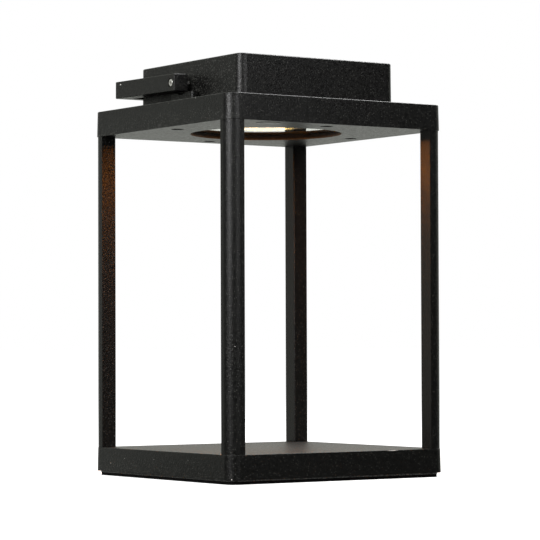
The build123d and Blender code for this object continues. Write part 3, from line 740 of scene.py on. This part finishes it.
@dataclass(frozen=True)
class Phosphor(Finish):
    """Warm emitter surface with a faint mottle."""

    colour: Colour = (0.95, 0.7, 0.3)
    pale_share: float = 1.04
    light: Colour = (1.0, 0.66, 0.3)
    dim_share: float = 0.88
    strength: float = 24.0
    roughness: Pair = (0.3, 0.42)

    def dress(self, canvas: Canvas) -> None:
        """The mottle keeps the emitters from looking printed."""
        tree = canvas.tree
        mottle = tree.noise(canvas.place, 1800.0, 2.0, 0.5)
        pale = shade(self.colour, self.pale_share)
        canvas.feed("Base Color", tree.blend(mottle, shade(self.colour), pale))
        light = tree.blend(mottle, shade(self.light, self.dim_share), shade(self.light))
        canvas.feed("Emission Color", light)
        canvas.fix("Emission Strength", self.strength)
        canvas.feed("Roughness", tree.span(mottle, *PATCHES, *self.roughness))


class Wardrobe:
    """Builds each finish once and puts it on pieces."""

    def __init__(self, effects: Effects) -> None:
        """Keeps the shared effects and an empty set of materials."""
        self.effects = effects
        self.materials: dict[Finish, bpy.types.Material] = {}

    def take(self, finish: Finish) -> bpy.types.Material:
        """Returns the finish's material, built on first use."""
        if finish not in self.materials:
            self.materials[finish] = finish.material(self.effects)
        return self.materials[finish]

    def dress(self, piece: bpy.types.Object, finish: Finish) -> None:
        """Puts a finish on every material slot of a piece."""
        material = self.take(finish)
        if not piece.material_slots:
            piece.data.materials.append(material)
        for slot in piece.material_slots:
            slot.material = material


BASE_COAT = PowderCoat(
    "powder_coat_base",
    bands=(Band(89.6 * MM, 3.1 * MM, 19.9 * MM),),
    chips=(
        Chip((0.0441, -0.0896, 0.0196), 0.0003, (16.0, 1.0, 1.0)),
        Chip((-0.0898, 0.0660, 0.0092), 0.0004),
        Chip((-0.0898, 0.0469, 0.0131), 0.0003),
        Chip((-0.0898, 0.0075, 0.0137), 0.0003),
        Chip((-0.0898, -0.0371, 0.0145), 0.0003),
        Chip((-0.0899, 0.0284, 0.0038), 0.0003),
        Chip((-0.0877, -0.0877, 0.0036), 0.0005),
    ),
)
POST_COAT = PowderCoat("powder_coat_posts", chips=(Chip((-0.0853, -0.0885, 0.0920), 0.0004),))
# the collar's coat carries painted light on the wall of its opening
COLLAR_COAT = PaintedGlowCoat(
    "powder_coat_collar",
    bands=(Band(89.7 * MM, 243.4 * MM, 261.4 * MM),),
    chips=(Chip((-0.0896, -0.0473, 0.2606), 0.0003), Chip((-0.0896, -0.0129, 0.2599), 0.00025)),
)
BOX_COAT = PowderCoat(
    "powder_coat_box",
    bands=(Band(65.4 * MM, 261.4 * MM, 291.6 * MM),),
    chips=(Chip((-0.0654, -0.0237, 0.2740), 0.0002),),
)
HANDLE_COAT = PowderCoat(
    "powder_coat_handle",
    chips=(Chip((-0.0804, 0.0675, 0.2803), 0.0005, (1.0, 2.0, 1.0)),),
)
FASTENER = Metal("bright_zinc", colour=(0.62, 0.62, 0.6), roughness=0.28)
STAINLESS = Metal("stainless", colour=(0.68, 0.67, 0.65), roughness=0.22, stretch=(0.05, 1.0, 1.0))
NICKEL = Metal("nickel", colour=(0.66, 0.64, 0.6), roughness=0.3, stretch=(1.0, 0.05, 1.0))
SHELL = Metal("bright_shell", colour=(0.72, 0.72, 0.72), roughness=0.18, stretch=(1.0, 0.08, 1.0))
MAT_RUBBER = Rubber("foot_rubber", colour=(0.0012, 0.0012, 0.0012), specular=0.05)
SEAL_RUBBER = Rubber("seal_rubber", colour=(0.009, 0.009, 0.009), roughness=0.62, grain_size=0.0003)
FOAM = Rubber("foam", colour=(0.05, 0.05, 0.052), roughness=0.95, grain_size=0.0011)
SHEET = PowderCoat("sheet_paint", colour=(0.055, 0.055, 0.052), grain_size=0.0005, grain_depth=0.00005)
CLEAR = Glass("clear_cover")
BOARD = Board("circuit_board")
# the LED board carries painted light along its ring of emitters
LED_WHITE = EmitterBoard("led_board_white")
LED_BODY = Phosphor("led_body", strength=3.0)
LED_WINDOW = Phosphor("led_window", strength=9.0)
# the light pan carries painted light around the ring of emitters
PAINTED_GLOW_PAN = PaintedGlowMetal("black_anodised", colour=(0.035, 0.035, 0.036), roughness=0.38, stretch=(0.1, 1.0, 1.0))
MOULDED = Plastic("moulded_black", colour=(0.022, 0.022, 0.023))
TRAY = Plastic("tray_plastic", colour=(0.03, 0.03, 0.032), roughness=0.5)
WRAP = Plastic("cell_wrap", colour=(0.03, 0.13, 0.3), roughness=0.24, grain_depth=0.000004)
BUTTON = Plastic("button_plastic", colour=(0.003, 0.003, 0.003), roughness=0.37)
SWITCH = Plastic("switch_plastic", colour=(0.003, 0.003, 0.003), roughness=0.36, grain_depth=0.000006)
LEAD = Plastic("lead_insulation", colour=(0.36, 0.02, 0.015), roughness=0.36, grain_depth=0.000004)


@dataclass
class SubAssembly:
    """One sub-assembly: the finishes of its CAD nodes, and the pieces that it adds."""

    wardrobe: Wardrobe
    body: str = "casing"
    finishes: ClassVar[dict[str, Finish]] = {}

    def build(self) -> list[bpy.types.Object]:
        """Builds and returns the pieces that this sub-assembly adds."""
        return []

    def make(self) -> None:
        """Dresses the CAD nodes and builds the added pieces."""
        for node, finish in self.finishes.items():
            self.wardrobe.dress(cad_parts[node], finish)
        pieces = self.build()
        added = ", ".join(piece.name for piece in pieces) or "nothing"
        log.info("%s: %d nodes dressed, %s added", type(self).__name__, len(self.finishes), added)

    def piece(self, name: str, mesh: bmesh.types.BMesh, finish: Finish, slot: Slot) -> bpy.types.Object:
        """Makes an object of a finished bmesh and lets it ride.

        Args:
            name: The new piece's name.
            mesh: Its shape, in place. It is freed here.
            finish: Its finish.
            slot: The record's slot that it belongs to. Not used.

        Returns:
            The new object.
        """
        bmesh.ops.recalc_face_normals(mesh, faces=mesh.faces)
        thing = solid(name, mesh)
        self.wardrobe.dress(thing, finish)
        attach(thing, self.body)
        return thing


def bevel_all(mesh: bmesh.types.BMesh, width: float, segments: int = 2) -> None:
    """Rounds every edge of a bmesh."""
    bmesh.ops.bevel(
        mesh,
        geom=mesh.edges[:],
        offset=width,
        affect="EDGES",
        segments=segments,
        profile=0.5,
        material=-1,
        clamp_overlap=True,
    )


def block(mesh: bmesh.types.BMesh, middle: Point, size: Point) -> list[bmesh.types.BMVert]:
    """Adds a rectangular block.

    Args:
        mesh: The bmesh that it goes into.
        middle: Its centre.
        size: Its size along X, Y and Z.

    Returns:
        The block's corners.
    """
    place = Matrix.Translation(middle) @ Matrix.Diagonal((*size, 1.0))
    return bmesh.ops.create_cube(mesh, size=1.0, matrix=place)["verts"]


@dataclass
class Base(SubAssembly):
    """Foot mat, bottom cover and the base casting."""

    finishes = {
        "foot_mat": MAT_RUBBER,
        "bottom_cover": SHEET,
        "cover_screws": FASTENER,
        "base_casting": BASE_COAT,
        "post_screws_lower": FASTENER,
    }


@dataclass
class Posts(SubAssembly):
    """The four posts."""

    finishes = {f"post_{place}": POST_COAT for place in ("front", "right", "rear", "left")}


@dataclass
class Collar(SubAssembly):
    """Collar frame with its screws and the housing's gasket."""

    finishes = {
        "collar_frame": COLLAR_COAT,
        "post_screws_upper": FASTENER,
        "housing_screws": FASTENER,
        "housing_gasket": SEAL_RUBBER,
    }


@dataclass
class LightUnit(SubAssembly):
    """Cover glass, light pan and the ring of emitters."""

    count: int = 12
    chip_face: float = 249.7 * MM
    board_face: float = 250.1 * MM
    window: Point = (2.0 * MM, 2.6 * MM, 0.16 * MM)
    window_out: float = 0.1 * MM
    solder: Point = (2.2 * MM, 0.5 * MM, 0.22 * MM)
    solder_shift: float = 1.9 * MM

    finishes = {
        "glass_gasket": SEAL_RUBBER,
        "cover_glass": CLEAR,
        "light_pan": PAINTED_GLOW_PAN,
        "light_pan_screws": FASTENER,
        "led_board": LED_WHITE,
        "led_chips": LED_BODY,
        "led_board_screws": FASTENER,
        "led_leads": LEAD,
    }

    def around(self, mesh: bmesh.types.BMesh) -> None:
        """Repeats what the bmesh holds once for each emitter."""
        bmesh.ops.spin(
            mesh,
            geom=mesh.verts[:] + mesh.edges[:] + mesh.faces[:],
            cent=(0.0, 0.0, 0.0),
            axis=(0.0, 0.0, 1.0),
            angle=math.tau * (self.count - 1) / self.count,
            steps=self.count - 1,
            use_duplicate=True,
        )

    def build(self) -> list[bpy.types.Object]:
        """Builds the emitters' windows and the solder beside them."""
        windows = bmesh.new()
        depth = self.window[2]
        block(windows, (LED_RING, 0.0, self.chip_face - self.window_out + depth / 2), self.window)
        bevel_all(windows, 0.05 * MM)
        self.around(windows)
        solder = bmesh.new()
        for side in (-1, 1):
            middle = (LED_RING, side * self.solder_shift, self.board_face - self.solder[2] / 2)
            block(solder, middle, self.solder)
        bevel_all(solder, 0.09 * MM)
        self.around(solder)
        return [
            self.piece("led_windows", windows, LED_WINDOW, Slot.PHOSPHOR),
            self.piece("led_solder", solder, NICKEL, Slot.SOLDER),
        ]


@dataclass
class TopHousing(SubAssembly):
    """The box on the collar and the rests beside it."""

    finishes = {
        "top_housing": BOX_COAT,
        "handle_rest_left": BOX_COAT,
        "handle_rest_right": BOX_COAT,
        "rest_screws": FASTENER,
        "pivot_sleeves": STAINLESS,
        "pivot_screws": STAINLESS,
    }


@dataclass
class Handle(SubAssembly):
    """The folding handle."""

    body: str = "handle"

    finishes = {"handle": HANDLE_COAT}


@dataclass
class Battery(SubAssembly):
    """Tray, cells and what joins them."""

    finishes = {
        "battery_tray": TRAY,
        "tray_screws": FASTENER,
        "battery_cells": WRAP,
        "cell_strips": NICKEL,
        "battery_pad": FOAM,
        "battery_leads": LEAD,
    }


@dataclass
class Driver(SubAssembly):
    """Driver board and its components."""

    finishes = {"driver_board": BOARD, "driver_components": MOULDED, "driver_screws": FASTENER}


@dataclass
class ChargingInlet(SubAssembly):
    """Charging socket behind its rubber flap."""

    middle_x: float = 40.0 * MM
    tongue_z: float = 251.2 * MM
    tongue_back: float = 80.6 * MM
    contact: Point = (0.35 * MM, 4.6 * MM, 0.06 * MM)
    contact_count: int = 8
    contact_pitch: float = 0.7 * MM

    finishes = {
        "charge_board": BOARD,
        "charge_socket": SHELL,
        "charge_screws": FASTENER,
        "port_flap": SEAL_RUBBER,
        "flap_anchor": SEAL_RUBBER,
        "charge_leads": LEAD,
    }

    def build(self) -> list[bpy.types.Object]:
        """Builds the row of contacts on each face of the socket's tongue."""
        contacts = bmesh.new()
        first = self.middle_x - self.contact_pitch * (self.contact_count - 1) / 2
        for number in range(self.contact_count):
            for side in (-1, 1):
                middle = (
                    first + number * self.contact_pitch,
                    self.tongue_back + self.contact[1] / 2,
                    self.tongue_z + side * (0.35 * MM + self.contact[2] / 2),
                )
                block(contacts, middle, self.contact)
        bevel_all(contacts, 0.015 * MM, 1)
        return [self.piece("socket_contacts", contacts, NICKEL, Slot.SHELL)]


@dataclass
class PushButton(SubAssembly):
    """Push button under the collar, and the rubber dome that gives way under it."""

    middle: Pair = (-48.7 * MM, -74.6 * MM)
    dome_low: float = 246.1 * MM
    dome_high: float = 250.0 * MM
    dome_skin: float = 0.7 * MM
    dome_crown: float = 2.4 * MM
    dome_foot: float = 4.6 * MM
    dome_rim: float = 5.4 * MM
    travel: float = 1.2 * MM
    turns: int = 48

    finishes = {
        "switch_body": SWITCH,
        "switch_nut": SWITCH,
        "switch_contacts": SWITCH,
        "button_dome": SEAL_RUBBER,
        "power_button": BUTTON,
        "switch_leads": LEAD,
    }

    def build(self) -> list[bpy.types.Object]:
        """Builds the dome, turned around the button's axis."""
        skin, high, low = self.dome_skin, self.dome_high, self.dome_low
        profile = (
            (0.0, low),
            (self.dome_crown, low),
            (self.dome_foot, high - skin),
            (self.dome_rim, high - skin),
            (self.dome_rim, high),
            (self.dome_foot - skin, high),
            (self.dome_crown - skin, low + skin),
            (0.0, low + skin),
        )
        mesh = bmesh.new()
        x, y = self.middle
        points = [mesh.verts.new((x + radius, y, height)) for radius, height in profile]
        edges = [mesh.edges.new(pair) for pair in zip(points, points[1:])]
        bmesh.ops.spin(
            mesh,
            geom=points + edges,
            cent=(x, y, 0.0),
            axis=(0.0, 0.0, 1.0),
            angle=math.tau,
            steps=self.turns,
            use_merge=True,
        )
        bmesh.ops.remove_doubles(mesh, verts=mesh.verts, dist=0.001 * MM)
        dome = self.piece("rubber_dome", mesh, SEAL_RUBBER, Slot.SEAL)
        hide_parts("button_dome")
        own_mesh(dome)
        return [dome]


@dataclass(frozen=True)
class Softbox:
    """A soft lamp that looks at the lantern.

    The brightness is what a camera would read on its face, where 1 is white.
    """

    name: str
    bearing: float  # degrees from +X, counter-clockwise seen from above
    distance: float
    height: float
    width: float
    tall: float
    brightness: float

    def place(self, target: Vector) -> bpy.types.Object:
        """Makes the lamp and turns it to the target."""
        lamp = bpy.data.lights.new(self.name, "AREA")
        lamp.shape = "RECTANGLE"
        lamp.size = self.width
        lamp.size_y = self.tall
        lamp.energy = self.brightness * math.pi * self.width * self.tall
        thing = stand(self.name, lamp)
        angle = math.radians(self.bearing)
        spot = Vector((self.distance * math.cos(angle), self.distance * math.sin(angle), self.height))
        thing.location = spot
        thing.rotation_euler = (target - spot).to_track_quat("-Z", "Y").to_euler()
        thing.visible_camera = False
        return thing


@dataclass
class Studio:
    """Pale floor, white surroundings, a dark screen behind the camera and the lamps."""

    floor_radius: float = 60.0
    floor_sides: int = 96
    floor_colour: Colour = (0.22, 0.22, 0.22)
    floor_own: float = 0.93
    floor_near: float = 0.76
    floor_far: float = 1.0
    floor_fade: Pair = (0.5, 2.6)  # distances of the near and the far strength
    floor_dark: float = 0.21
    floor_dark_bearing: float = 245.0
    floor_turn: Pair = (-0.5, 0.1)  # cosines to that bearing between which it gets dark
    ambient: float = 0.45
    mirrored: float = 0.76
    mirrored_tint: Colour = (0.97, 1.0, 0.92)
    screen_radius: float = 2.7
    screen_height: float = 2.6
    screen_from: float = 133.0
    screen_to: float = 345.0
    screen_steps: int = 24
    screen_colour: Colour = (0.03, 0.03, 0.03)
    target: Vector = field(default_factory=lambda: Vector((0.0, 0.0, 0.32)))
    softboxes: tuple[Softbox, ...] = (
        Softbox("left_strip", 198.8, 0.91, 0.66, 0.4, 0.74, 28.0),
        Softbox("front_strip", 272.6, 0.88, 0.62, 0.34, 0.74, 9.8),
        Softbox("overhead", 8.0, 1.1, 1.6, 1.0, 1.0, 20.0),
    )
    led_radius: float = 16.5 * MM
    led_height: float = 249.5 * MM
    led_spread: float = 172.0
    led_power: float = 1.05
    led_colour: Colour = (1.0, 0.28, 0.03)

    @staticmethod
    def glow(tree: Tree, lit: float, mirrored: Value, seen: float) -> Plug:
        """Returns a strength that depends on the kind of ray.

        Args:
            tree: The tree that it goes into.
            lit: Strength as a source of light.
            mirrored: Strength in reflections.
            seen: Strength for the camera, also through the glass.

        Returns:
            The strength.
        """
        path = tree.node("ShaderNodeLightPath").outputs
        strength = tree.between(path["Is Glossy Ray"], lit, mirrored)
        direct = tree.calc("MAXIMUM", path["Is Camera Ray"], path["Is Transmission Ray"])
        return tree.between(direct, strength, seen)

    def tint(self, tree: Tree) -> Plug:
        """Returns white, or the faint tint of the surroundings in reflections."""
        mirrored = tree.node("ShaderNodeLightPath").outputs["Is Glossy Ray"]
        return tree.blend(mirrored, (1.0, 1.0, 1.0, 1.0), shade(self.mirrored_tint))

    def surroundings(self) -> None:
        """White for the eye and for reflections, softer as a source of light."""
        world = bpy.data.worlds.new("studio")
        tree = clear_tree(world)
        strength = self.glow(tree, self.ambient, self.mirrored, 1.0)
        background = tree.node("ShaderNodeBackground", {"Color": self.tint(tree), "Strength": strength})
        output = tree.node("ShaderNodeOutputWorld")
        tree.feed(output.inputs["Surface"], background.outputs[0])
        bpy.context.scene.world = world

    def floor(self) -> bpy.types.Object:
        """A wide pale floor that keeps a soft shadow of the lantern."""
        mesh = bmesh.new()
        bmesh.ops.create_circle(mesh, cap_ends=True, segments=self.floor_sides, radius=self.floor_radius)
        floor = solid("floor", mesh)
        material = bpy.data.materials.new("pale_floor")
        tree = clear_tree(material)
        glossy = tree.node("ShaderNodeLightPath").outputs["Is Glossy Ray"]
        lit = tree.blend(glossy, shade(self.floor_colour), shade(self.floor_colour, 0.0))
        matt = tree.node("ShaderNodeBsdfDiffuse", {"Color": lit})
        bearing = math.radians(self.floor_dark_bearing)
        place = tree.node("ShaderNodeTexCoord").outputs["Object"]
        away = tree.length(place)
        front = tree.calc("DIVIDE", tree.dot(place, (math.cos(bearing), math.sin(bearing), 0.0)), away)
        pale = tree.span(away, *self.floor_fade, self.floor_near, self.floor_far)
        own = self.glow(tree, 0.0, tree.span(front, *self.floor_turn, pale, self.floor_dark), self.floor_own)
        shine = tree.node("ShaderNodeEmission", {"Color": self.tint(tree), "Strength": own})
        both = tree.node("ShaderNodeAddShader", {0: matt.outputs[0], 1: shine.outputs[0]})
        output = tree.node("ShaderNodeOutputMaterial")
        tree.feed(output.inputs["Surface"], both.outputs[0])
        floor.data.materials.append(material)
        return floor

    def screen(self) -> bpy.types.Object:
        """A dark curved screen behind the camera, which the camera itself never sees."""
        mesh = bmesh.new()
        start = math.radians(self.screen_from)
        reach = self.screen_radius
        first = mesh.verts.new((reach * math.cos(start), reach * math.sin(start), 0.0))
        top = mesh.verts.new((*first.co.xy, self.screen_height))
        edge = mesh.edges.new((first, top))
        bmesh.ops.spin(
            mesh,
            geom=[first, top, edge],
            cent=(0.0, 0.0, 0.0),
            axis=(0.0, 0.0, 1.0),
            angle=math.radians(self.screen_to - self.screen_from),
            steps=self.screen_steps,
        )
        screen = solid("dark_screen", mesh)
        material = bpy.data.materials.new("dark_cloth")
        material.use_nodes = True
        shader = material.node_tree.nodes["Principled BSDF"]
        shader.inputs["Base Color"].default_value = shade(self.screen_colour)
        shader.inputs["Roughness"].default_value = 1.0
        screen.data.materials.append(material)
        screen.visible_camera = False
        return screen

    def led_light(self) -> None:
        """The light that the emitters throw down through the glass."""
        lamp = bpy.data.lights.new("led_light", "AREA")
        lamp.shape = "DISK"
        lamp.size = 2 * self.led_radius
        lamp.energy = self.led_power
        lamp.spread = math.radians(self.led_spread)
        lamp.color = self.led_colour
        thing = stand("led_light", lamp)
        thing.location = (0.0, 0.0, self.led_height)
        thing.visible_camera = False
        thing.visible_transmission = False

    def make(self) -> None:
        """Builds the studio."""
        self.surroundings()
        self.floor()
        self.screen()
        for softbox in self.softboxes:
            softbox.place(self.target)
        self.led_light()
        log.info("studio: %d softboxes", len(self.softboxes))


@dataclass(frozen=True)
class Viewpoint:
    """Camera at the photograph's viewing angle."""

    place: Point = (-1.00677, -1.48848, 0.09214)
    yaw: float = -34.154
    pitch: float = 1.727
    roll: float = -0.197
    lens: float = 168.162
    sensor: float = 36.0
    near: float = 0.05
    far: float = 200.0

    def make(self) -> None:
        """Makes the camera and gives it to the scene."""
        yaw, pitch, roll = (math.radians(angle) for angle in (self.yaw, self.pitch, self.roll))
        ahead = Vector((-math.sin(yaw) * math.cos(pitch), math.cos(yaw) * math.cos(pitch), math.sin(pitch)))
        level = Vector((math.cos(yaw), math.sin(yaw), 0.0))
        upward = level.cross(ahead)
        right = level * math.cos(roll) + upward * math.sin(roll)
        up = upward * math.cos(roll) - level * math.sin(roll)
        data = bpy.data.cameras.new("camera")
        data.lens = self.lens
        data.sensor_width = self.sensor
        data.clip_start = self.near
        data.clip_end = self.far
        camera = stand("camera", data)
        turn = Matrix((right, up, -ahead)).transposed().to_4x4()
        camera.matrix_world = Matrix.Translation(self.place) @ turn
        bpy.context.scene.camera = camera
        log.info("camera at %s", self.place)


def main() -> None:
    """Builds the studio and every sub-assembly in order."""
    logging.basicConfig(level=logging.INFO, format="%(name)s: %(message)s")
    bpy.context.scene.view_settings.view_transform = "Standard"
    Viewpoint().make()
    Studio().make()
    wardrobe = Wardrobe(Effects())
    for kind in (
        Base,
        Posts,
        Collar,
        LightUnit,
        TopHousing,
        Handle,
        Battery,
        Driver,
        ChargingInlet,
        PushButton,
    ):
        kind(wardrobe).make()


if __name__ == "__main__":
    main()
